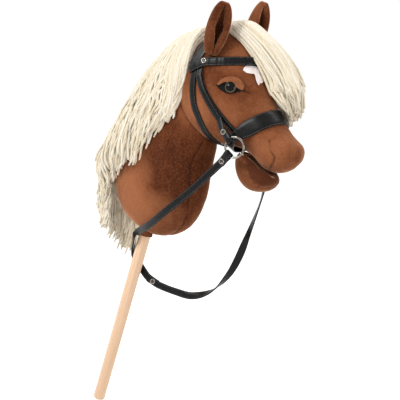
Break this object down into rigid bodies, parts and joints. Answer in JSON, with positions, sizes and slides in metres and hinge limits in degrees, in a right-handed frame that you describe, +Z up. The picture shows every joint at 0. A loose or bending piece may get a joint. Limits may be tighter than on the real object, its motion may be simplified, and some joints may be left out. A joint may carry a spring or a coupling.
{
  "type": "hobby horse",
  "caption": "Stuffed velvet horse head on a short round wooden stick, with yarn mane, bridle, loose bit rings and reins, for a child to ride on",
  "frame": {"origin": "Centre of the small flat on the stick's lower end, with the stick upright", "axes": "+Z up along the stick, +X the way the horse looks, +Y its left side"},
  "size_m": [0.3736, 0.1297, 0.7304],
  "materials": {
    "beech": "smooth sanded beech, unpainted",
    "velvet": "short-pile brown velvet",
    "light_velvet": "lighter short-pile velvet",
    "black_felt": "black felt",
    "glossy_eye": "polished dark dome",
    "washer_plastic": "plain moulded",
    "satin": "pale satin",
    "yarn": "twisted cream wool yarn",
    "black_leather": "smooth semi-gloss, stitched edges",
    "bright_metal": "bright nickel plating"
  },
  "bodies": {
    "horse": {"stick": "beech", "stick_pocket": "velvet", "neck": "velvet", "head": "velvet", "lower_jaw": "velvet", "ear_right": "velvet", "ear_left": "velvet", "eyelid_right": "light_velvet", "eyelid_left": "light_velvet", "eye_patch_right": "black_felt", "eye_patch_left": "black_felt", "eye_right": "glossy_eye", "eye_left": "glossy_eye", "eye_washer_right": "washer_plastic", "eye_washer_left": "washer_plastic", "star_patch": "satin", "mane": "yarn", "forelock": "yarn", "headpiece": "black_leather", "browband": "black_leather", "cheekpiece_right": "black_leather", "cheekpiece_left": "black_leather", "noseband_hanger_right": "black_leather", "noseband_hanger_left": "black_leather", "noseband": "black_leather", "throatlatch": "black_leather", "rein_right": "black_leather", "rein_left": "black_leather", "browband_rivet_right": "bright_metal", "browband_rivet_left": "bright_metal", "cheek_rivet_right": "bright_metal", "cheek_rivet_left": "bright_metal", "rein_rivet_right": "bright_metal", "rein_rivet_left": "bright_metal", "rein_centre_rivet": "bright_metal", "bit_mouthpiece": "bright_metal"},
    "ring_right": {"bit_ring_right": "bright_metal"},
    "ring_left": {"bit_ring_left": "bright_metal"}
  },
  "joints": [
    {"name": "ring_turn_right", "type": "hinge", "parent": "horse", "child": "ring_right", "pos_m": [0.155, -0.046, 0.515], "axis": [0.1392, -0.9903, 0], "continuous": true},
    {"name": "ring_turn_left", "type": "hinge", "parent": "horse", "child": "ring_left", "pos_m": [0.155, 0.046, 0.515], "axis": [0.1392, 0.9903, 0], "continuous": true}
  ]
}
